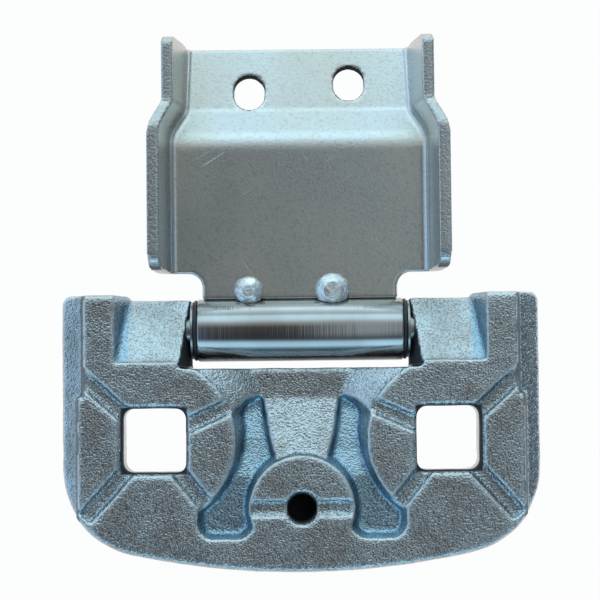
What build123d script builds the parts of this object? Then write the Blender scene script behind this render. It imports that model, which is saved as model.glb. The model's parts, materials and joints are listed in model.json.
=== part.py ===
"""Rear door hinge of a van: a cast body bracket, a pressed door leaf and the pin that joins them.

The hinge lies on the back of its bracket with the leaf swung out flat. X runs along the pin,
Y from the bracket to the leaf and Z up from the back. The origin is on the bracket's back face,
midway between its two square bolt holes. All sizes are in millimetres.
"""

import os
from math import cos, radians, sin, sqrt, tan

from build123d import *

# Pin and barrel
pin_d = 8.0
pin_y = 30.0  # pin axis, measured from the line through the square holes
pin_z = 8.9  # pin axis above the back
pin_recess = 0.8  # pin ends below the bracket's sides
pin_chamfer = 0.6
barrel_d = 17.2
barrel_length = 56.4
barrel_chamfer = 0.6
bush_wall = 1.2
bush_length = 15.0
bush_flange_d = 16.6
bush_flange = 0.9
washer_d = 15.8
washer_thickness = 0.7

# Fits
running_clearance = 0.05  # pin in bushes, on the radius
seat_clearance = 0.02  # pressed and welded seats, on the radius
washer_clearance = 0.1  # washer round the pin, on the radius
end_play = 0.2  # each side of a washer

# Bracket outline and levels
bracket_width = 130.0
bracket_foot = 35.8  # lowest point of the outline below the square holes
foot_arc_r = 213.0
corner_r = 24.0
lug_round = 9.6  # lug end beyond the pin axis
lug_corner_r = 2.5
side_z = 14.0  # top of the upright sides
shoulder_z = 16.0  # inner edge of the sloping ledges along the sides
back_bevel = 1.6
deck_z = 19.0  # face of the pads
deck_width = 118.6  # across the ribs of the lugs
pad_width = 122.0  # across the pads below them
pad_top_y = 12.0
deck_bevel = 0.9

# Square bolt holes and the grooves that radiate from them
bolt_spacing = 80.0
bolt_square = 17.5
bolt_corner_r = 2.7
bolt_bevel = 1.1
groove_width = 5.0
groove_depth = 1.5
groove_bevel = 0.9
groove_angles_and_reach = [(24, 24.0), (138, 29.0), (228, 28.0), (309, 23.0)]  # left hole

# Gap for the barrel and the sloping lug fronts
bridge_y = 19.4  # edge of the bracket across from the barrel
gap_flare = 3.0  # widening of the gap at the deck
gap_flare_z = 10.5
slope_y = 21.1  # foot of the sloping lug front
slope_lip = 1.0
slope_angle = 24.0
slope_end_step = 1.2  # end of the sloping front, short of the rib's end
rib_width = 8.7  # outer rib beside the sloping front
rib_draft = 21.0

# Central recess, bone-shaped pockets and the half-moon pad
pad_r = 22.0  # round edge of the pads about the square holes
moon_r = 14.0
moon_y = -18.5  # centre of the half-moon and of the locating hole
wall_draft = 22.0
recess_z = 12.4
skirt_run = 10.0  # sloping foot of the pads in the recess's upper corners
skirt_z = 18.3
recess_rise_y = 11.5
recess_top_y = -4.5
recess_top_z = 17.0
bone_z = 10.9
bone_lobe_z = 15.2
bone_rise_y = 8.5
bone_lobe_y = -10.0
bone_tip = (-10.4, 12.6)
bone_shoulder = (-15.4, 8.6)
bone_waist = (-10.6, 2.6)
bone_heel = (-9.4, -5.0)
bone_lobe_top = -18.6
bone_lobe_low = -23.6
bone_lobe_left = -25.2
bone_lobe_right = -16.6
bone_corner_r = 1.1
locating_d = 7.8
locating_depth = 12.0
locating_bevel = 1.0
moon_groove_width = 4.8
moon_groove_depth = 1.2

# Door leaf
sheet = 3.2
web_width = 70.9  # between the flanges' insides, at the web's front
flange_step = 4.25  # of each flange inwards, beside the plate beyond the joggle
flange_splay = 9.5
neck_width = 53.6
neck_corner_r = 3.8
flange_foot_y = 45.6
joggle_y = 81.7  # where the web's back turns down
joggle_run = 8.4  # along Y, between the corners of the two bends
joggle_angle = 26.0
plate_angle = 12.0
leaf_end_y = 109.5
web_bend_r = 10.0
plate_bend_r = 5.0
flange_bend_r = 2.0
step_gap = 3.3  # from the joggle to where the flanges step inwards
step_run = 7.0
step_r = 8.0
flange_z = 25.2  # free edges of the flanges beside the web
plate_flange_z = 22.8  # and beside the plate
flange_foot_lean = 3.0
flange_end_lean = 0.5
flange_foot_r = 5.0
flange_end_r = 2.5
flange_trim = 1.0  # allowance sheared off the free edges after bending
slot_width = 8.5
slot_length = 10.1
slot_centres = [(-13.5, 96.3), (14.1, 98.7)]

# Welds between neck and barrel
bead_spots = [(-14.1, 4.2), (8.9, 4.9)]  # place along the pin and radius at the web
bead_y = 40.6
bead_height = 3.2
bead_draft = 1.0  # how much narrower a bead is at its top
bead_bevel = 1.5
seam_width = 44.0
seam_leg = 3.0

pin_r = pin_d / 2
barrel_r = barrel_d / 2
half_width = bracket_width / 2
lug_inner = barrel_length / 2 + bush_flange + washer_thickness + 2 * end_play
bracket_top = pin_y + lug_round
bolt_x = bolt_spacing / 2
bush_r = pin_r + running_clearance + bush_wall
beyond = 2 * bracket_width  # past the part on every side

# The web stands as high as the joggle and the sloping plate drop, so the leaf's end is level with the back
joggle_drop = joggle_run * tan(radians(joggle_angle))
plate_drop = (leaf_end_y - joggle_y - joggle_run) * tan(radians(plate_angle))
web_back_z = joggle_drop + plate_drop
web_front_z = web_back_z + sheet
plate_width = web_width - 2 * flange_step
step_y = joggle_y + step_gap


def pin_line(length, plane_x=0.0):
    """Plane across the pin axis, at plane_x along it, so that extrusions run along the pin."""
    return Plane(origin=(plane_x - length / 2, pin_y, pin_z), x_dir=(0, 1, 0), z_dir=(1, 0, 0))


def across(y):
    """Upright plane across the hinge at y, with X to the right and Z up."""
    return Plane.XZ.offset(-y)


def grown(radius):
    """Radius of a drafted wall's foot at bone_z for its radius at the deck."""
    return radius + (deck_z - bone_z) * tan(radians(wall_draft))


# Outline of the bracket: straight sides, round lower corners and a shallow arc at the foot
foot_rise = foot_arc_r - sqrt(foot_arc_r**2 - half_width**2)
with BuildSketch() as outline:
    with BuildLine():
        Polyline(
            (-half_width, foot_rise - bracket_foot),
            (-half_width, bracket_top),
            (half_width, bracket_top),
            (half_width, foot_rise - bracket_foot),
        )
        ThreePointArc(
            (half_width, foot_rise - bracket_foot),
            (0, -bracket_foot),
            (-half_width, foot_rise - bracket_foot),
        )
    make_face()
    fillet(outline.vertices().group_by(Axis.Y)[0], corner_r)
    fillet(outline.vertices().group_by(Axis.Y)[-1], lug_corner_r)

# Deck of pads on top of the bracket's body
with BuildPart() as deck:
    with BuildSketch(Plane.XY.offset(back_bevel)):
        Rectangle(deck_width, beyond)
        with Locations((0, pad_top_y)):
            Rectangle(pad_width, beyond, align=(Align.CENTER, Align.MAX))
        add(outline.sketch, mode=Mode.INTERSECT)
    extrude(amount=deck_z - back_bevel)
    chamfer(deck.edges().group_by(Axis.Z)[-1], deck_bevel)

# Room above the sloping ledge of the right side
ledge_run = half_width - deck_width / 2
ledge_drop = shoulder_z - side_z
with BuildPart() as ledge_room:
    with BuildSketch(across(0)):
        Polygon(
            (deck_width / 2, shoulder_z),
            (deck_width / 2 + 2 * ledge_run, shoulder_z - 2 * ledge_drop),
            (deck_width / 2 + 2 * ledge_run, shoulder_z),
            align=None,
        )
    extrude(amount=beyond, both=True)

# Room above the sloping front of the right lug and past its end, with the drafted inside of the outer rib
slope_end_y = bracket_top - slope_end_step
slope_end_z = deck_z - slope_lip - (slope_end_y - slope_y) * tan(radians(slope_angle))
rib_inner = deck_width / 2 - rib_width
rib_foot = rib_inner - (deck_z - slope_end_z) * tan(radians(rib_draft))
with BuildPart() as lug_front:
    with BuildSketch(Plane.YZ):
        Polygon(
            (slope_y, beyond),
            (slope_y, deck_z - slope_lip),
            (slope_end_y, slope_end_z),
            (slope_end_y, 0),
            (beyond, 0),
            (beyond, beyond),
            align=None,
        )
    extrude(amount=half_width)
    with BuildSketch(across(0)):
        Polygon(
            (0, 0),
            (rib_foot, 0),
            (rib_foot, slope_end_z),
            (rib_inner + (beyond - deck_z) * tan(radians(rib_draft)), beyond),
            (0, beyond),
            align=None,
        )
    extrude(amount=-beyond, mode=Mode.INTERSECT)

# Drafted walls that stand round the recess: the pads about the square holes and the half-moon
with BuildPart() as standing_pads:
    with Locations((-bolt_x, 0, bone_z), (bolt_x, 0, bone_z)):
        Cone(grown(pad_r), pad_r, deck_z - bone_z, align=(Align.CENTER, Align.CENTER, Align.MIN))
    with Locations((0, moon_y, bone_z)):
        Cone(grown(moon_r), moon_r, deck_z - bone_z, align=(Align.CENTER, Align.CENTER, Align.MIN))

# Central recess between the pads, with a floor that rises to the half-moon
recess_slope = (recess_top_z - recess_z) / (recess_rise_y - recess_top_y)
recess_end_y = recess_top_y - (deck_z - recess_top_z) / recess_slope
with BuildPart() as recess:
    with BuildSketch(Plane.YZ):
        Polygon(
            (bracket_top, recess_z),
            (recess_rise_y, recess_z),
            (recess_end_y, deck_z),
            (bracket_top, deck_z),
            align=None,
        )
    extrude(amount=lug_inner, both=True)
    add(standing_pads.part, mode=Mode.SUBTRACT)
    with Locations((-bolt_x, 0, recess_z), (bolt_x, 0, recess_z)):
        Cone(
            pad_r + skirt_run,
            pad_r,
            skirt_z - recess_z,
            align=(Align.CENTER, Align.CENTER, Align.MIN),
            mode=Mode.SUBTRACT,
        )

# Left bone-shaped pocket, one step below the recess
with BuildPart() as bone:
    with BuildSketch(Plane.XY.offset(bone_z)) as bone_floor:
        Polygon(
            bone_tip,
            bone_shoulder,
            (bone_lobe_left, bone_lobe_top),
            (bone_lobe_left, bone_lobe_low),
            (bone_lobe_right, bone_lobe_low),
            bone_heel,
            bone_waist,
            align=None,
        )
        fillet(bone_floor.vertices(), bone_corner_r)
    extrude(amount=deck_z - bone_z, taper=-wall_draft)
    add(standing_pads.part, mode=Mode.SUBTRACT)
    with BuildSketch(Plane.YZ):
        Polygon(
            (bracket_top, bone_z),
            (bone_rise_y, bone_z),
            (bone_lobe_y, bone_lobe_z),
            (-bracket_foot, bone_lobe_z),
            (-bracket_foot, deck_z),
            (bracket_top, deck_z),
            align=None,
        )
    extrude(amount=-half_width, mode=Mode.INTERSECT)

# Groove across a pad: flat floor, bevelled sides
with BuildSketch() as groove_section:
    Polygon(
        (-groove_width / 2, 0),
        (groove_width / 2, 0),
        (groove_width / 2 - groove_bevel, -groove_depth),
        (groove_bevel - groove_width / 2, -groove_depth),
        align=None,
    )

# Grooves of the left pad, from the middle of its square hole outwards
with BuildPart() as grooves:
    for angle, reach in groove_angles_and_reach:
        run = Vector(cos(radians(angle)), sin(radians(angle)), 0)
        aside = Vector(-run.Y, run.X, 0)
        with BuildSketch(Plane(origin=(-bolt_x, 0, deck_z), x_dir=aside, z_dir=run)):
            add(groove_section.sketch)
        extrude(amount=reach)

# Square bolt hole of the left pad, with its bevelled rim
with BuildPart() as bolt_hole:
    with BuildSketch() as square:
        with Locations((-bolt_x, 0)):
            RectangleRounded(bolt_square, bolt_square, bolt_corner_r)
    extrude(amount=deck_z)
    with BuildSketch(Plane.XY.offset(deck_z - bolt_bevel)):
        add(square.sketch)
    with BuildSketch(Plane.XY.offset(deck_z)):
        with Locations((-bolt_x, 0)):
            RectangleRounded(
                bolt_square + 2 * bolt_bevel, bolt_square + 2 * bolt_bevel, bolt_corner_r + bolt_bevel
            )
    loft()

# Body bracket: the casting that is bolted to the van
with BuildPart() as body_bracket:
    add(outline.sketch)
    extrude(amount=shoulder_z)
    chamfer(body_bracket.edges().group_by(Axis.Z)[0], back_bevel)
    add(ledge_room.part, mode=Mode.SUBTRACT)
    add(mirror(ledge_room.part, about=Plane.YZ, mode=Mode.PRIVATE), mode=Mode.SUBTRACT)
    add(deck.part)

    # Gap for the barrel, flared towards the front
    with BuildSketch(across(bridge_y)):
        gap_top = 2 * deck_z
        flare = gap_flare * (gap_top - gap_flare_z) / (deck_z - gap_flare_z)
        Polygon(
            (-lug_inner, 0),
            (lug_inner, 0),
            (lug_inner, gap_flare_z),
            (lug_inner + flare, gap_top),
            (-lug_inner - flare, gap_top),
            (-lug_inner, gap_flare_z),
            align=None,
        )
    extrude(amount=bridge_y - bracket_top, mode=Mode.SUBTRACT)

    # Forms of the front, the left and right ones alike
    add(recess.part, mode=Mode.SUBTRACT)
    add(lug_front.part, mode=Mode.SUBTRACT)
    add(mirror(lug_front.part, about=Plane.YZ, mode=Mode.PRIVATE), mode=Mode.SUBTRACT)
    for form in (bone, grooves, bolt_hole):
        add(form.part, mode=Mode.SUBTRACT)
        add(mirror(form.part, about=Plane.YZ, mode=Mode.PRIVATE), mode=Mode.SUBTRACT)

    # Groove and locating hole of the half-moon
    with BuildSketch(Plane(origin=(-moon_r, moon_y, deck_z), x_dir=(0, 1, 0), z_dir=(1, 0, 0))):
        Polygon(
            (-moon_groove_width / 2, 0),
            (moon_groove_width / 2, 0),
            (moon_groove_width / 2 - groove_bevel, -moon_groove_depth),
            (groove_bevel - moon_groove_width / 2, -moon_groove_depth),
            align=None,
        )
    extrude(amount=2 * moon_r, mode=Mode.SUBTRACT)
    with Locations((0, moon_y, deck_z)):
        Hole(locating_d / 2, depth=locating_depth)
        Cone(
            locating_d / 2,
            locating_d / 2 + locating_bevel,
            moon_groove_depth,
            align=(Align.CENTER, Align.CENTER, Align.MAX),
            mode=Mode.SUBTRACT,
        )

    # Bore for the pin, through both lugs
    with BuildSketch(pin_line(bracket_width)):
        Circle(pin_r + seat_clearance)
    extrude(amount=bracket_width, mode=Mode.SUBTRACT)


def bend_line(lift):
    """Corners of the leaf's side view, as (Y, Z), on a line that stands lift above the sheet's back."""
    joggle_end_y = joggle_y + joggle_run
    joggle_end_z = web_back_z - joggle_drop
    plate_run = leaf_end_y + sheet - joggle_end_y
    corners = [
        Vector(pin_y, web_back_z),
        Vector(joggle_y, web_back_z),
        Vector(joggle_end_y, joggle_end_z),
        Vector(joggle_end_y + plate_run, joggle_end_z - plate_run * tan(radians(plate_angle))),
    ]
    slopes = [0, joggle_angle, plate_angle]
    normals = [Vector(sin(radians(slope)), cos(radians(slope))) for slope in slopes]
    mitres = [(a + b) / (1 + a.dot(b)) for a, b in zip(normals, normals[1:])]
    lifts = [normals[0], *mitres, normals[-1]]
    return [corner + way * lift for corner, way in zip(corners, lifts)]


def pressing(lift, bend_r):
    """Solid that fills the channel above the surface lying lift above the sheet's back.

    Its plan is drawn at the free edges of the flanges and narrows down to the web.
    """
    splay = tan(radians(flange_splay))
    aside = (sheet - lift) / cos(radians(flange_splay))
    rim_z = flange_z + flange_trim
    step_radii = [step_r + rim_z * splay, step_r - rim_z * splay]
    web_half = web_width / 2 + aside + (rim_z - web_front_z) * splay
    plate_half = plate_width / 2 + aside + (rim_z - bend_line(sheet)[2].Y) * splay
    line = bend_line(lift)
    side = [
        (web_half, pin_y),
        (web_half, step_y),
        (plate_half, step_y + step_run),
        (plate_half, line[-1].X),
    ]
    with BuildPart() as upturned:
        with BuildSketch():
            with BuildLine():
                FilletPolyline(*side, radius=step_radii)
                FilletPolyline(*[(-x, y) for x, y in side], radius=step_radii)
                Line(side[0], (-web_half, pin_y))
                Line(side[-1], (-plate_half, line[-1].X))
            make_face()
        extrude(amount=rim_z, taper=flange_splay)
    with BuildPart() as fill:
        with Locations((0, 0, rim_z)):
            add(upturned.part, rotation=(0, 180, 0))
        with BuildSketch(Plane.YZ):
            with BuildLine():
                FilletPolyline(*line, radius=[web_bend_r + lift, plate_bend_r + sheet - lift])
                Polyline(line[-1], (line[-1].X, 2 * rim_z), (pin_y, 2 * rim_z), line[0])
            make_face()
        extrude(amount=bracket_width, both=True, mode=Mode.INTERSECT)
        bends = fill.edges().filter_by(
            lambda edge: edge.bounding_box().max.Z < flange_z and abs(edge.center().X) > neck_width / 4
        )
        fillet(bends, bend_r)
    return fill.part


sheet_outside = pressing(0, flange_bend_r + sheet)
sheet_inside = pressing(sheet, flange_bend_r)

# Side view of the leaf: neck, then flanges with round ends
plate_start = bend_line(sheet)[2]
neck_top_z = web_front_z + flange_bend_r
with BuildSketch(Plane.YZ) as leaf_side:
    foot_top_y = flange_foot_y + (flange_z - neck_top_z) * tan(radians(flange_foot_lean))
    end_top_y = leaf_end_y + plate_flange_z * tan(radians(flange_end_lean))
    with BuildLine():
        FilletPolyline(
            (pin_y, 0),
            (pin_y, neck_top_z),
            (flange_foot_y, neck_top_z),
            (foot_top_y, flange_z),
            (step_y, flange_z),
            (step_y + step_run, plate_flange_z),
            (end_top_y, plate_flange_z),
            (leaf_end_y, 0),
            radius=[0, 0, flange_foot_r, step_r, step_r, flange_end_r],
        )
        Line((leaf_end_y, 0), (pin_y, 0))
    make_face()

# Cuts beside the neck
with BuildSketch() as neck_sides:
    for side in (-1, 1):
        with Locations((side * neck_width / 2, flange_foot_y)):
            Rectangle(
                web_width,
                web_width,
                align=(Align.MIN if side > 0 else Align.MAX, Align.MAX),
            )
    neck_corners = neck_sides.vertices().group_by(Axis.Y)[-1].sort_by(Axis.X)[1:3]
    fillet(neck_corners, neck_corner_r)

# Door leaf: a pressed channel of sheet steel
with BuildPart() as door_leaf:
    add(sheet_outside)
    add(sheet_inside, mode=Mode.SUBTRACT)
    extrude(leaf_side.sketch, amount=bracket_width, both=True, mode=Mode.INTERSECT)
    extrude(neck_sides.sketch, amount=flange_z, mode=Mode.SUBTRACT)
    for x, y in slot_centres:
        z = plate_start.Y - (y - plate_start.X) * tan(radians(plate_angle))
        plate_normal = (0, sin(radians(plate_angle)), cos(radians(plate_angle)))
        with BuildSketch(Plane(origin=(x, y, z), x_dir=(1, 0, 0), z_dir=plate_normal)):
            SlotOverall(slot_length, slot_width, rotation=90)
        extrude(amount=2 * sheet, both=True, mode=Mode.SUBTRACT)
    with BuildSketch(pin_line(bracket_width)):
        Circle(barrel_r + seat_clearance)
    extrude(amount=bracket_width, mode=Mode.SUBTRACT)

# Barrel: turned tube, welded across the end of the neck
with BuildPart() as hinge_barrel:
    with BuildSketch(pin_line(barrel_length)):
        Circle(barrel_r)
        Circle(bush_r + seat_clearance, mode=Mode.SUBTRACT)
    extrude(amount=barrel_length)
    chamfer(hinge_barrel.edges().filter_by(GeomType.CIRCLE).group_by(SortBy.RADIUS)[-1], barrel_chamfer)

# Weld beads on the front of the joint
with BuildPart() as front_weld_beads:
    for x, radius in bead_spots:
        with Locations((x, bead_y, web_front_z)):
            Cone(radius, radius - bead_draft, bead_height, align=(Align.CENTER, Align.CENTER, Align.MIN))
    chamfer(front_weld_beads.edges().group_by(Axis.Z)[-1], bead_bevel)
    with BuildSketch(pin_line(bracket_width)):
        Circle(barrel_r + seat_clearance)
    extrude(amount=bracket_width, mode=Mode.SUBTRACT)

# Weld seam in the corner behind the joint
with BuildPart() as rear_weld_seam:
    root_y = pin_y + sqrt(barrel_r**2 - (web_back_z - pin_z) ** 2)
    with BuildSketch(Plane.YZ.offset(-seam_width / 2)):
        Polygon(
            (root_y - seam_leg, web_back_z),
            (root_y + seam_leg, web_back_z),
            (root_y, web_back_z - seam_leg),
            align=None,
        )
        with Locations((pin_y, pin_z)):
            Circle(barrel_r + seat_clearance, mode=Mode.SUBTRACT)
    extrude(amount=seam_width)

# Pin: plain, pressed into both lugs
with BuildPart() as hinge_pin:
    pin_length = bracket_width - 2 * pin_recess
    with BuildSketch(pin_line(pin_length)):
        Circle(pin_r)
    extrude(amount=pin_length)
    chamfer(hinge_pin.edges().filter_by(GeomType.CIRCLE), pin_chamfer)

os.makedirs("parts", exist_ok=True)

# Flanged bushes in the barrel's ends, and a thrust washer between each bush and its lug
for side, name in ((-1, "left"), (1, "right")):
    bush_face = side * (barrel_length / 2 + bush_flange / 2)
    with BuildPart() as bush:
        with BuildSketch(pin_line(bush_flange, bush_face)):
            Circle(bush_flange_d / 2)
        extrude(amount=bush_flange)
        with BuildSketch(pin_line(bush_length, side * (barrel_length - bush_length) / 2)):
            Circle(bush_r)
        extrude(amount=bush_length)
        with BuildSketch(pin_line(bracket_width)):
            Circle(pin_r + running_clearance)
        extrude(amount=bracket_width, mode=Mode.SUBTRACT)
    bush.part.label = f"bush_{name}"
    export_step(bush.part, f"parts/bush_{name}.step")

    washer_x = side * (barrel_length / 2 + bush_flange + end_play + washer_thickness / 2)
    with BuildPart() as washer:
        with BuildSketch(pin_line(washer_thickness, washer_x)):
            Circle(washer_d / 2)
            Circle(pin_r + washer_clearance, mode=Mode.SUBTRACT)
        extrude(amount=washer_thickness)
    washer.part.label = f"washer_{name}"
    export_step(washer.part, f"parts/washer_{name}.step")

pieces = {
    "body_bracket": body_bracket,
    "door_leaf": door_leaf,
    "hinge_barrel": hinge_barrel,
    "front_weld_beads": front_weld_beads,
    "rear_weld_seam": rear_weld_seam,
    "hinge_pin": hinge_pin,
}
for name, piece in pieces.items():
    piece.part.label = name
    export_step(piece.part, f"parts/{name}.step")
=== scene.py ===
"""Looks of a van's rear door hinge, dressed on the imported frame: materials, fine form, light and camera."""

import json
from math import hypot, pi, radians, sin

import bpy
from mathutils import Matrix, Vector


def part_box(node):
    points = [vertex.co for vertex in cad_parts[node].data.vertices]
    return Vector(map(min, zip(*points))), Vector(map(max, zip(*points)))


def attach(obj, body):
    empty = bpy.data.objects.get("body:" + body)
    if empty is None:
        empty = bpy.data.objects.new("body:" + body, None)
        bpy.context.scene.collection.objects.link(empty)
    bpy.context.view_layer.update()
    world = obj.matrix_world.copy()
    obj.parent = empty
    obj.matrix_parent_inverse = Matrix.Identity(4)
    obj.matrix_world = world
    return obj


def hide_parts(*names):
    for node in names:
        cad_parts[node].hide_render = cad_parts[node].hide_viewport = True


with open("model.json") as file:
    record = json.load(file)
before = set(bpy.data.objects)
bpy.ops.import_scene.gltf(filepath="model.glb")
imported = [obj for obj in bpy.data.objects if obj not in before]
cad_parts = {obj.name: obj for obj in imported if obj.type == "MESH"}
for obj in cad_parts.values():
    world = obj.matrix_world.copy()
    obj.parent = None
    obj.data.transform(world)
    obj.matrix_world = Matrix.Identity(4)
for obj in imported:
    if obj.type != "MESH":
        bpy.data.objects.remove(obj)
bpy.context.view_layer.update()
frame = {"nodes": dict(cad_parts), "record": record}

# Body bracket: the D-shaped casting that is bolted to the van. It is cast steel, shot-blasted and
# zinc plated, so its edges are soft and its skin has a fine grain. Its plating is bare in the holes, which
# are also darkened with painted shade, as are the barrel's gap and the deck's sides.
MM = 0.001
merge_gap = 0.002 * MM


def merged_copy(node, name):
    """A new piece that holds a merged copy of a CAD node's mesh, and is the only thing selected."""
    piece = bpy.data.objects.new(name, frame["nodes"][node].data.copy())
    bpy.context.collection.objects.link(piece)
    bpy.ops.object.select_all(action="DESELECT")
    piece.select_set(True)
    bpy.context.view_layer.objects.active = piece
    bpy.ops.object.mode_set(mode="EDIT")
    bpy.ops.mesh.select_all(action="SELECT")
    bpy.ops.mesh.remove_doubles(threshold=merge_gap)
    bpy.ops.object.mode_set(mode="OBJECT")
    piece.data.materials.clear()
    return piece


def apply_modifier(piece, kind, **settings):
    """Adds a modifier with the given settings and applies it."""
    modifier = piece.modifiers.new(kind.lower(), kind)
    for key, value in settings.items():
        setattr(modifier, key, value)
    bpy.context.view_layer.objects.active = piece
    bpy.ops.object.modifier_apply(modifier=modifier.name)


def soften(piece, voxel, rounds, swell_size=None, swell=0.0):
    """Remeshes a piece evenly, rounds its edges and, if asked, lets its surface swell and sink a little."""
    apply_modifier(piece, "REMESH", mode="VOXEL", voxel_size=voxel)
    apply_modifier(piece, "SMOOTH", factor=0.5, iterations=rounds)
    if swell_size:
        swells = bpy.data.textures.new(f"{piece.name}_swells", "CLOUDS")
        swells.noise_scale = swell_size
        apply_modifier(piece, "DISPLACE", texture=swells, texture_coords="LOCAL", strength=swell)
    bpy.ops.object.shade_smooth()


def mark(piece, name, amount_at):
    """Stores an amount at each point of a piece, found from its place in millimetres."""
    layer = piece.data.attributes.new(name, "FLOAT", "POINT")
    for point, vertex in zip(layer.data, piece.data.vertices):
        point.value = amount_at(vertex.co / MM)


def mark_hollows(piece, rounds, depth):
    """Stores how hollow a piece is: 1 in a groove of the given depth, -1 on an edge, 0 where it is flat."""
    probe = bpy.data.objects.new("probe", piece.data.copy())
    bpy.context.collection.objects.link(probe)
    apply_modifier(probe, "SMOOTH", factor=0.5, iterations=rounds)
    layer = piece.data.attributes.new("hollow", "FLOAT", "POINT")
    for point, vertex, smoothed in zip(layer.data, piece.data.vertices, probe.data.vertices):
        point.value = max(-1, min(1, (smoothed.co - vertex.co).dot(vertex.normal) / depth))
    bpy.data.objects.remove(probe)


def new_material(name, **sockets):
    """A metal with its node tree, its shader and its Object coordinates. Sockets are set by name."""
    material = bpy.data.materials.new(name)
    material.use_nodes = True
    tree = material.node_tree
    shader = tree.nodes["Principled BSDF"]
    for key, value in {"Metallic": 1, **sockets}.items():
        shader.inputs[key].default_value = value
    return material, tree, shader, tree.nodes.new("ShaderNodeTexCoord").outputs["Object"]


def add_node(tree, kind, inputs, **settings):
    """Adds a node, sets its properties, and sets or links its inputs, given by name or by number."""
    node = tree.nodes.new(f"ShaderNode{kind}")
    for key, value in settings.items():
        setattr(node, key, value)
    for key, value in inputs.items():
        if isinstance(value, bpy.types.NodeSocket):
            tree.links.new(value, node.inputs[key])
        else:
            node.inputs[key].default_value = value
    return node


def blend_colours(tree, share, first, second):
    """The colour that lies the given share of the way from the first to the second."""
    return add_node(tree, "Mix", {0: share, 6: first, 7: second}, data_type="RGBA").outputs[2]


def grey_range(tree, value, low, high):
    """A value from 0 to 1, stretched over another range."""
    return add_node(tree, "MapRange", {"Value": value, "To Min": low, "To Max": high}).outputs[0]


def add_bump(tree, shader, height, distance):
    """Lets a height stand proud of the surface by the given distance."""
    bump = add_node(tree, "Bump", {"Distance": distance, "Height": height})
    tree.links.new(bump.outputs[0], shader.inputs["Normal"])


def read_mark(tree, name):
    """The amounts that mark or mark_hollows stored on the piece under the given name."""
    return add_node(tree, "Attribute", {}, attribute_name=name).outputs["Fac"]


def shader_group(name, inputs, outputs):
    """A shader node group with the given sockets, and its input and output nodes."""
    group = bpy.data.node_groups.new(name, "ShaderNodeTree")
    for way, sockets in (("INPUT", inputs), ("OUTPUT", outputs)):
        for label, kind in sockets.items():
            group.interface.new_socket(name=label, in_out=way, socket_type=f"NodeSocket{kind}")
    return group, group.nodes.new("NodeGroupInput").outputs, group.nodes.new("NodeGroupOutput").inputs


# Plating clouds: zinc plate that is duller in soft patches
plating_clouds, entry, leave = shader_group(
    "plating_clouds",
    {"Vector": "Vector", "Scale": "Float", "Bright": "Color", "Dull": "Color"},
    {"Color": "Color", "Dullness": "Float"},
)
cloud = add_node(
    plating_clouds, "TexNoise", {"Vector": entry["Vector"], "Scale": entry["Scale"], "Detail": 3}
).outputs["Fac"]
dullness = add_node(
    plating_clouds,
    "MapRange",
    {"Value": cloud, "From Min": 0.35, "From Max": 0.65},
    interpolation_type="SMOOTHSTEP",
).outputs[0]
plating_clouds.links.new(dullness, leave["Dullness"])
plating_clouds.links.new(
    blend_colours(plating_clouds, dullness, entry["Bright"], entry["Dull"]), leave["Color"]
)


def add_clouds(tree, places, scale, bright, dull):
    """Places the plating clouds in a material: their Color and their Dullness."""
    values = {0: places, "Scale": scale, "Bright": (*bright, 1), "Dull": (*dull, 1)}
    return add_node(tree, "Group", values, node_tree=plating_clouds).outputs


bracket = merged_copy("body_bracket", "cast_bracket")
soften(bracket, voxel=0.57 * MM, rounds=4, swell_size=7 * MM, swell=0.3 * MM)

# Places on the casting, in millimetres
bolt_x = 40
bolt_half = 17.5 / 2
hole_dark_z = 8
hole_dark_fade = 4
rib_half = 118.6 / 2
pad_half = 122 / 2
pad_top_y = 12
deck_bevel = 0.9
deck_z = 19
shoulder_z = 16
locating_y = -18.5
locating_r = 7.8 / 2
gap_y = 20.2
lug_inner = 30.2
flare_z = 10.5
flare = 3.0 / 8.5
skin = 0.3
recess_z = 12.4
recess_rise_y = 11.5
recess_slope = 4.6 / 16
pad_z = 18
bone_depth = 0.8
bone_foot_y = -28
back_z = 8
rib_foot_low = 46.8
rib_foot_high = 51
deck_side_shade = 0.55


def plating_lost_and_shade(place):
    """How dark a place is painted, for thin plating and for shade: most in the holes and the barrel's gap,
    less on the deck's sides, where it is only painted shade.
    """
    if max(abs(abs(place.x) - bolt_x), abs(place.y)) < bolt_half + skin:
        return max(0, min(1, (place.z - hole_dark_z) / hole_dark_fade))
    if hypot(place.x, place.y - locating_y) < locating_r + skin:
        return 1
    deck_half = rib_half if place.y > pad_top_y else pad_half
    if abs(place.x) > deck_half - deck_bevel and shoulder_z < place.z < deck_z - skin:
        return deck_side_shade
    if place.y > gap_y:
        return abs(place.x) < lug_inner + skin + flare * max(place.z - flare_z, 0)
    return 0


def painted_pocket_blue(place):
    """Whether a place gets a painted blue reflection: in the bone pockets and at the feet of the lugs' ribs.
    """
    if place.y > pad_top_y:
        return rib_foot_low < abs(place.x) < rib_foot_high and back_z < place.z < pad_z
    floor_z = min(recess_z + recess_slope * max(recess_rise_y - place.y, 0), pad_z)
    return abs(place.x) < lug_inner and place.y > bone_foot_y and back_z < place.z < floor_z - bone_depth


mark(bracket, "thin_plating_and_shade", plating_lost_and_shade)
mark(bracket, "painted_pocket_blue", painted_pocket_blue)
mark_hollows(bracket, rounds=14, depth=0.3 * MM)

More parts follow.
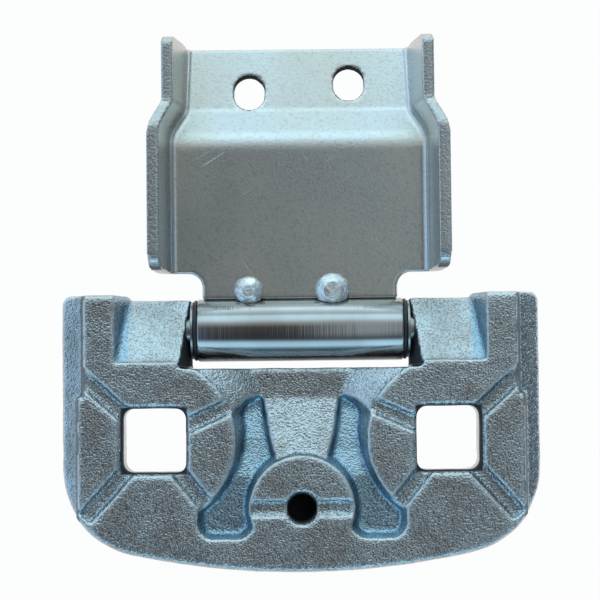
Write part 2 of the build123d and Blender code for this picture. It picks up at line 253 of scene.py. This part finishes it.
cast_zinc, tree, shader, places = new_material("cast_zinc")
clouds = add_clouds(tree, places, 90, (0.52, 0.56, 0.58), (0.43, 0.435, 0.43))
fine_grain = add_node(tree, "TexNoise", {"Vector": places, "Scale": 2000, "Detail": 1}).outputs["Fac"]
coarse_grain = add_node(tree, "TexNoise", {"Vector": places, "Scale": 1000, "Detail": 1}).outputs["Fac"]
grain = add_node(tree, "Math", {0: coarse_grain, 1: 0.6, 2: fine_grain}, operation="MULTIPLY_ADD").outputs[0]
pits = add_node(
    tree, "MapRange", {"Value": grain, "From Min": 0.82, "From Max": 0.6, "To Max": 0.36}
).outputs[0]
colour = blend_colours(tree, pits, clouds["Color"], (0.10, 0.095, 0.09, 1))
hollow = read_mark(tree, "hollow")
# Pale colour on the convex edges is a painted highlight; the same mask also makes the edges rougher, as wear.
edge_highlight_and_wear = add_node(tree, "MapRange", {"Value": hollow, "From Max": -0.8, "To Max": 0.6}).outputs[0]
colour = blend_colours(tree, edge_highlight_and_wear, colour, (0.80, 0.85, 0.88, 1))
# Dark teal in the grooves and hollows is painted shade.
colour = blend_colours(tree, grey_range(tree, hollow, 0, 0.85), colour, (0.07, 0.16, 0.22, 1))
# Blue in the bone pockets and at the feet of the ribs is a painted reflection of the blue light, a little
# darker than the plate.
pocket_reflection = read_mark(tree, "painted_pocket_blue")
colour = blend_colours(tree, grey_range(tree, pocket_reflection, 0, 0.5), colour, (0.25, 0.47, 0.62, 1))
# Near black in the holes and the barrel's gap is painted shade over thin plating; on the deck's sides it is
# painted shade.
thin_and_shaded = read_mark(tree, "thin_plating_and_shade")
tree.links.new(blend_colours(tree, thin_and_shaded, colour, (0.03, 0.033, 0.036, 1)), shader.inputs["Base Color"])
plated = add_node(tree, "MapRange", {"Value": thin_and_shaded, "From Min": 0.4, "To Min": 1, "To Max": 0}).outputs[0]
tree.links.new(plated, shader.inputs["Metallic"])
satin = grey_range(tree, coarse_grain, 0.12, 0.26)
worn = add_node(tree, "Math", {0: edge_highlight_and_wear, 1: 0.4, 2: satin}, operation="MULTIPLY_ADD").outputs[0]
rough = add_node(tree, "Math", {0: thin_and_shaded, 1: 0.7, 2: worn}, operation="MULTIPLY_ADD").outputs[0]
tree.links.new(rough, shader.inputs["Roughness"])
add_bump(tree, shader, grain, 0.19 * MM)
bracket.data.materials.append(cast_zinc)
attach(bracket, "bracket")
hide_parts("body_bracket")

# Door leaf: a channel pressed from steel sheet, with a joggle and two bolt slots, then zinc plated.
# The plate is satin, specked and a little scratched, its sheared edges are torn, and the walls of the
# slots are dark with thin plating and painted shade.
leaf = merged_copy("door_leaf", "pressed_leaf")
soften(leaf, voxel=0.44 * MM, rounds=3)

openings = {space["name"]: space["box_m"] for space in frame["record"]["physics"]["openings"]}
slot_width = 8.5
slot_straight = 10.1 - slot_width
slot_spots = []
for slot_name in ("leaf_slot_left", "leaf_slot_right"):
    low, high = openings[slot_name]
    slot_spots.append(((low[0] + high[0]) / 2 / MM, (low[1] + high[1]) / 2 / MM))
slot_rim = 0.1


def in_leaf_slot(place):
    """Whether a place in the leaf is on the wall of one of its slots."""
    for slot_x, slot_y in slot_spots:
        along = max(abs(place.y - slot_y) - slot_straight / 2, 0)
        if hypot(place.x - slot_x, along) < slot_width / 2 + slot_rim:
            return 1
    return 0


step_y = 85
step_end_y = 95
web_rim_z = 25.2
plate_rim_z = 22.8
rim_depth = 0.6


def on_sheared_edge(place):
    """Whether a place in the leaf is on the sheared free edge of a flange."""
    past_step = max(0, min(1, (place.y - step_y) / (step_end_y - step_y)))
    return place.z > web_rim_z + (plate_rim_z - web_rim_z) * past_step - rim_depth


mark(leaf, "thin_plating_and_shade", in_leaf_slot)
mark(leaf, "sheared_edge", on_sheared_edge)

# Hairlines: sparse short scratches, in two directions
hairlines, entry, leave = shader_group("hairlines", {"Vector": "Vector"}, {"Mask": "Float"})
strokes = []
for turn in (32, -58):
    turned = add_node(
        hairlines,
        "Mapping",
        {"Vector": entry["Vector"], "Rotation": (0, 0, radians(turn)), "Scale": (0.9 * MM, 14 * MM, 14 * MM)},
        vector_type="TEXTURE",
    ).outputs[0]
    streak = add_node(hairlines, "TexNoise", {"Vector": turned, "Scale": 1, "Detail": 0}).outputs["Fac"]
    strokes.append(
        add_node(hairlines, "MapRange", {"Value": streak, "From Min": 0.81, "From Max": 0.87}).outputs[0]
    )
both = add_node(hairlines, "Math", {0: strokes[0], 1: strokes[1]}, operation="MAXIMUM")
hairlines.links.new(both.outputs[0], leave["Mask"])

sheet_zinc, tree, shader, places = new_material("sheet_zinc")
clouds = add_clouds(tree, places, 28, (0.63, 0.645, 0.645), (0.63, 0.605, 0.555))
specks = add_node(tree, "TexNoise", {"Vector": places, "Scale": 1100, "Detail": 3}).outputs["Fac"]
specks = add_node(
    tree, "MapRange", {"Value": specks, "From Min": 0.5, "From Max": 0.75, "To Max": 0.25}
).outputs[0]
colour = blend_colours(tree, specks, clouds["Color"], (0.16, 0.14, 0.12, 1))
sheared = read_mark(tree, "sheared_edge")
tear = add_node(tree, "TexNoise", {"Vector": places, "Scale": 1500, "Detail": 3}).outputs["Fac"]
torn = add_node(tree, "Math", {0: sheared, 1: tear}, operation="MULTIPLY").outputs[0]
colour = blend_colours(tree, torn, colour, (0.42, 0.44, 0.46, 1))
# Near black on the slot walls is painted shade, over thin plating.
thin_and_shaded = read_mark(tree, "thin_plating_and_shade")
tree.links.new(blend_colours(tree, thin_and_shaded, colour, (0.02, 0.016, 0.012, 1)), shader.inputs["Base Color"])
plated = grey_range(tree, thin_and_shaded, 1, 0)
tree.links.new(plated, shader.inputs["Metallic"])
scratches = add_node(tree, "Group", {0: places}, node_tree=hairlines).outputs["Mask"]
satin = grey_range(tree, clouds["Dullness"], 0.27, 0.33)
rubbed = add_node(tree, "Math", {0: scratches, 1: 0.08, 2: satin}, operation="MULTIPLY_ADD").outputs[0]
rough = add_node(tree, "Math", {0: thin_and_shaded, 1: 0.65, 2: rubbed}, operation="MULTIPLY_ADD").outputs[0]
tree.links.new(rough, shader.inputs["Roughness"])
roll_grain = add_node(tree, "TexNoise", {"Vector": places, "Scale": 1500, "Detail": 2}).outputs["Fac"]
surface = add_node(tree, "Math", {0: scratches, 1: -0.8, 2: roll_grain}, operation="MULTIPLY_ADD").outputs[0]
surface = add_node(tree, "Math", {0: torn, 1: 4.5, 2: surface}, operation="MULTIPLY_ADD").outputs[0]
add_bump(tree, shader, surface, 0.028 * MM)
leaf.data.materials.append(sheet_zinc)
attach(leaf, "leaf")
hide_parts("door_leaf")

# Barrel: a tube turned from bar and welded across the neck of the leaf, plated with it.
# It shows the fine rings of the turning tool and has small bevels at its ends.
pin_low, pin_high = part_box("hinge_pin")
pin_y = (pin_low.y + pin_high.y) / 2
pin_z = (pin_low.z + pin_high.z) / 2
pin_r = (pin_high.z - pin_low.z) / 2
bush_sleeve_r = 5.25 * MM
fit = 0.02 * MM
sharp_angle = radians(32)


def turned_piece(name, outline, steps):
    """A piece spun about the pin's axis from a closed outline of (place along the pin, radius)."""
    bpy.ops.object.select_all(action="DESELECT")
    bpy.ops.mesh.primitive_plane_add(size=MM)
    piece = bpy.context.object
    piece.name = name
    bpy.ops.object.mode_set(mode="EDIT")
    bpy.ops.mesh.select_all(action="SELECT")
    bpy.ops.mesh.merge(type="CENTER")
    corners = [Vector((x, pin_y, pin_z + radius)) for x, radius in outline]
    bpy.ops.transform.translate(value=corners[0])
    for here, there in zip(corners, corners[1:] + corners[:1]):
        bpy.ops.mesh.extrude_region_move(TRANSFORM_OT_translate={"value": there - here})
    bpy.ops.mesh.select_all(action="SELECT")
    bpy.ops.mesh.remove_doubles(threshold=merge_gap)
    bpy.ops.mesh.spin(steps=steps, angle=2 * pi, center=(0, pin_y, pin_z), axis=(1, 0, 0))
    bpy.ops.mesh.select_all(action="SELECT")
    bpy.ops.mesh.remove_doubles(threshold=merge_gap)
    bpy.ops.mesh.normals_make_consistent(inside=False)
    bpy.ops.object.mode_set(mode="OBJECT")
    bpy.ops.object.shade_smooth_by_angle(angle=sharp_angle)
    return piece


barrel_low, barrel_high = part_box("hinge_barrel")
barrel_r = (barrel_high.z - barrel_low.z) / 2
barrel_half = barrel_high.x
barrel_bevel = 0.6 * MM
bevel_round = 0.3 * barrel_bevel
barrel_steps = 160
barrel_bore = bush_sleeve_r + fit
barrel = turned_piece(
    "turned_barrel",
    [
        (-barrel_half, barrel_bore),
        (-barrel_half, barrel_r - barrel_bevel),
        (-barrel_half + bevel_round, barrel_r - bevel_round),
        (-barrel_half + barrel_bevel, barrel_r),
        (barrel_half - barrel_bevel, barrel_r),
        (barrel_half - bevel_round, barrel_r - bevel_round),
        (barrel_half, barrel_r - barrel_bevel),
        (barrel_half, barrel_bore),
    ],
    barrel_steps,
)

# Turning rings: fine lines round a turned piece, from a pattern that changes only along the pin
turning_rings, entry, leave = shader_group("turning_rings", {"Vector": "Vector"}, {"Rings": "Float"})
stretched = add_node(
    turning_rings, "Mapping", {"Vector": entry["Vector"], "Scale": (3200, 25, 25)}
).outputs[0]
rings = add_node(turning_rings, "TexNoise", {"Vector": stretched, "Scale": 1, "Detail": 2}).outputs["Fac"]
turning_rings.links.new(rings, leave["Rings"])

turned_zinc, tree, shader, places = new_material("turned_zinc")
clouds = add_clouds(tree, places, 60, (0.44, 0.44, 0.44), (0.37, 0.36, 0.35))
tree.links.new(clouds["Color"], shader.inputs["Base Color"])
rings = add_node(tree, "Group", {0: places}, node_tree=turning_rings).outputs["Rings"]
tree.links.new(grey_range(tree, rings, 0.08, 0.17), shader.inputs["Roughness"])
add_bump(tree, shader, rings, 0.045 * MM)
barrel.data.materials.append(turned_zinc)
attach(barrel, "leaf")
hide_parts("hinge_barrel")

# Bushes: black flanged bearings pressed into the barrel's ends, and bright washers that take the thrust
# between their flanges and the lugs.
bush_bore = pin_r + 0.05 * MM
bush_edge = 0.2 * MM
small_steps = 96
washer_edge = 0.1 * MM

bush_black, tree, shader, places = new_material("bush_black", Metallic=0)
wear = add_node(tree, "TexNoise", {"Vector": places, "Scale": 700, "Detail": 3}).outputs["Fac"]
tree.links.new(
    blend_colours(tree, wear, (0.012, 0.012, 0.014, 1), (0.035, 0.035, 0.036, 1)), shader.inputs["Base Color"]
)
tree.links.new(grey_range(tree, wear, 0.35, 0.6), shader.inputs["Roughness"])
washer_bright, tree, shader, places = new_material("washer_bright")
rings = add_node(tree, "Group", {0: places}, node_tree=turning_rings).outputs["Rings"]
tree.links.new(
    blend_colours(tree, rings, (0.30, 0.31, 0.32, 1), (0.42, 0.43, 0.44, 1)), shader.inputs["Base Color"]
)
tree.links.new(grey_range(tree, rings, 0.2, 0.34), shader.inputs["Roughness"])

for side, way in (("left", -1), ("right", 1)):
    low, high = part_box(f"bush_{side}")
    inner, outer = sorted((low.x, high.x), key=abs)
    bush_r = (high.z - low.z) / 2
    bush = turned_piece(
        f"flanged_bush_{side}",
        [
            (inner, bush_bore),
            (inner, bush_sleeve_r),
            (way * barrel_half, bush_sleeve_r),
            (way * barrel_half, bush_r - bush_edge),
            (way * (barrel_half + bush_edge), bush_r),
            (outer - way * bush_edge, bush_r),
            (outer, bush_r - bush_edge),
            (outer, bush_bore),
        ],
        small_steps,
    )
    bush.data.materials.append(bush_black)
    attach(bush, "leaf")
    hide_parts(f"bush_{side}")

    low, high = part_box(f"washer_{side}")
    washer_r = (high.z - low.z) / 2
    washer = turned_piece(
        f"thrust_washer_{side}",
        [
            (low.x, pin_r + 2 * washer_edge),
            (low.x, washer_r - washer_edge),
            (low.x + washer_edge, washer_r),
            (high.x - washer_edge, washer_r),
            (high.x, washer_r - washer_edge),
            (high.x, pin_r + 2 * washer_edge),
            (high.x - washer_edge, pin_r + washer_edge),
            (low.x + washer_edge, pin_r + washer_edge),
        ],
        small_steps,
    )
    washer.data.materials.append(washer_bright)
    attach(washer, "bracket")
    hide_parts(f"washer_{side}")

# Pin: a plain ground steel pin, pressed through both lugs. Its ends are bevelled, have a centre mark
# and lie just below the bracket's sides.
pin_half = pin_high.x
pin_bevel = 0.6 * MM
centre_r = 1.2 * MM
centre_depth = 0.5 * MM
pin = turned_piece(
    "ground_pin",
    [
        (-pin_half + centre_depth, 0),
        (-pin_half, centre_r),
        (-pin_half, pin_r - pin_bevel),
        (-pin_half + pin_bevel, pin_r),
        (pin_half - pin_bevel, pin_r),
        (pin_half, pin_r - pin_bevel),
        (pin_half, centre_r),
        (pin_half - centre_depth, 0),
    ],
    small_steps,
)
pin_steel, tree, shader, places = new_material("pin_steel")
clouds = add_clouds(tree, places, 300, (0.50, 0.51, 0.52), (0.34, 0.33, 0.32))
tree.links.new(clouds["Color"], shader.inputs["Base Color"])
tree.links.new(grey_range(tree, clouds["Dullness"], 0.22, 0.4), shader.inputs["Roughness"])
pin.data.materials.append(pin_steel)
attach(pin, "bracket")
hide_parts("hinge_pin")

# Welds: two beads on the front of the joint and a seam behind it fix the barrel to the neck.
# The metal froze in uneven domes and ripples, and the zinc plate over it is bright.
beads = merged_copy("front_weld_beads", "weld_beads")
soften(beads, voxel=0.26 * MM, rounds=6, swell_size=2.4 * MM, swell=0.4 * MM)

seam = merged_copy("rear_weld_seam", "weld_seam")
soften(seam, voxel=0.26 * MM, rounds=6, swell_size=3 * MM, swell=0.3 * MM)
ripple_pitch = 2.2 * MM
ripple = 0.12 * MM
for vertex in seam.data.vertices:
    vertex.co += vertex.normal * ripple * sin(2 * pi * vertex.co.x / ripple_pitch)

weld_zinc, tree, shader, places = new_material("weld_zinc")
clouds = add_clouds(tree, places, 350, (0.88, 0.90, 0.90), (0.76, 0.77, 0.77))
tree.links.new(clouds["Color"], shader.inputs["Base Color"])
tree.links.new(grey_range(tree, clouds["Dullness"], 0.3, 0.5), shader.inputs["Roughness"])
crust = add_node(tree, "TexNoise", {"Vector": places, "Scale": 900, "Detail": 4}).outputs["Fac"]
add_bump(tree, shader, crust, 0.2 * MM)
for weld, node in ((beads, "front_weld_beads"), (seam, "rear_weld_seam")):
    weld.data.materials.append(weld_zinc)
    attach(weld, "leaf")
    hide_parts(node)

# Floor: a plain white table top, below the leaf's lowest swing. It looks white to the camera and in
# the metal, and keeps a faint shadow.
leaf_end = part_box("door_leaf")[1]
swing_r = hypot(leaf_end.y - pin_y, leaf_end.z - pin_z)
floor_room = 5 * MM
floor_size = 12
floor_z = pin_z - swing_r - floor_room
bpy.ops.object.select_all(action="DESELECT")
bpy.ops.mesh.primitive_plane_add(size=floor_size, location=(0, 0, floor_z))
floor = bpy.context.object
floor.name = "floor"
floor_white, tree, shader, _ = new_material(
    "floor_white", Metallic=0, Roughness=0.9, **{"Base Color": (0.86, 0.86, 0.87, 1)}
)
path = tree.nodes.new("ShaderNodeLightPath").outputs
seen = add_node(tree, "Math", {0: path["Is Camera Ray"], 1: path["Is Glossy Ray"]}, operation="MAXIMUM")
seen = add_node(tree, "Math", {0: seen.outputs[0], 1: path["Is Transmission Ray"]}, operation="MAXIMUM")
white_share = add_node(tree, "Math", {0: seen.outputs[0], 1: 0.96}, operation="MULTIPLY").outputs[0]
glow = add_node(tree, "Emission", {"Color": (1, 1, 1, 1)}).outputs[0]
mix = add_node(tree, "MixShader", {0: white_share, 1: shader.outputs[0], 2: glow})
tree.links.new(mix.outputs[0], tree.nodes["Material Output"].inputs["Surface"])
floor.data.materials.append(floor_white)

# Light: a soft studio. Its colours change with the angle from overhead, in degrees, towards the leaf (+)
# or the bracket's foot (-): a dark canopy with a faint lamp on its right, a bright panel and skyline beyond
# the leaf, blue light past the foot, a blue wall on the left and a dark one on the right.
world = bpy.data.worlds.new("studio")
bpy.context.scene.world = world
world.use_nodes = True
tree = world.node_tree
ray = add_node(tree, "TexCoord", {}).outputs["Generated"]
axes = add_node(tree, "SeparateXYZ", {0: ray}).outputs
sky_colours = [
    (-180, (0.05, 0.07, 0.09)),
    (-95, (0.05, 0.07, 0.09)),
    (-82, (0.08, 0.16, 0.22)),
    (-73, (0.28, 0.52, 0.70)),
    (-63, (0.92, 1.54, 1.95)),
    (-50, (0.80, 1.32, 1.68)),
    (-40, (0.20, 0.28, 0.34)),
    (-34, (0.06, 0.08, 0.10)),
    (-18, (0.08, 0.08, 0.09)),
    (9, (0.12, 0.12, 0.11)),
    (20, (0.42, 0.44, 0.43)),
    (28, (0.68, 0.84, 0.90)),
    (36, (1.06, 1.42, 1.56)),
    (45, (1.18, 1.68, 1.90)),
    (53, (1.14, 1.62, 1.82)),
    (59, (0.66, 0.90, 1.02)),
    (68, (0.82, 1.12, 1.26)),
    (80, (1.40, 1.84, 2.06)),
    (180, (1.40, 1.84, 2.06)),
]
lean = add_node(tree, "Math", {0: axes["Y"], 1: axes["Z"]}, operation="ARCTAN2").outputs[0]
sky_place = add_node(tree, "MapRange", {"Value": lean, "From Min": -pi, "From Max": pi}).outputs[0]
sky = add_node(tree, "ValToRGB", {"Fac": sky_place})
sky.color_ramp.elements[0].color = (*sky_colours[0][1], 1)
sky.color_ramp.elements[1].color = (*sky_colours[-1][1], 1)
for degrees_over, colour in sky_colours[1:-1]:
    sky.color_ramp.elements.new(degrees_over / 360 + 0.5).color = (*colour, 1)
wall_place = add_node(tree, "MapRange", {"Value": axes["X"], "From Min": -1}).outputs[0]
walls = blend_colours(tree, wall_place, (0.58, 0.88, 1.20, 1), (0.09, 0.10, 0.11, 1))
sideways = add_node(tree, "Math", {0: axes["X"]}, operation="ABSOLUTE").outputs[0]
wall_share = add_node(
    tree, "MapRange", {"Value": sideways, "From Min": 0.35, "From Max": 0.8}, interpolation_type="SMOOTHSTEP"
).outputs[0]
wall_height = add_node(
    tree, "MapRange", {"Value": axes["Z"], "From Min": 0.12, "From Max": 0.3}, interpolation_type="SMOOTHSTEP"
).outputs[0]
wall_share = add_node(tree, "Math", {0: wall_share, 1: wall_height}, operation="MULTIPLY").outputs[0]
lamp_side = add_node(
    tree, "MapRange", {"Value": axes["X"], "From Min": 0.01, "From Max": 0.22, "To Max": 0.7}
).outputs[0]
lamp_height = add_node(tree, "MapRange", {"Value": axes["Z"], "From Min": 0.75, "From Max": 0.95}).outputs[0]
lamp_share = add_node(tree, "Math", {0: lamp_side, 1: lamp_height}, operation="MULTIPLY").outputs[0]
lit_sky = blend_colours(tree, lamp_share, sky.outputs["Color"], (0.70, 0.84, 0.92, 1))
studio = blend_colours(tree, wall_share, lit_sky, walls)
tree.links.new(studio, tree.nodes["Background"].inputs["Color"])

# Camera: above the bracket, leaning a little towards the leaf and turned so that the right side
# stands higher.
camera_tilt = radians(2.72)
camera_roll = radians(-0.6)
camera_place = (0, 12 * MM, 559.8 * MM)
camera_lens = 120
camera = bpy.data.objects.new("camera", bpy.data.cameras.new("camera"))
bpy.context.collection.objects.link(camera)
camera.location = camera_place
camera_turn = Matrix.Rotation(camera_tilt, 3, "X") @ Matrix.Rotation(camera_roll, 3, "Z")
camera.rotation_euler = camera_turn.to_euler()
camera.data.lens = camera_lens
camera.data.sensor_width = 36
camera.data.clip_start = 0.01
bpy.context.scene.camera = camera
bpy.context.scene.view_settings.view_transform = "Standard"
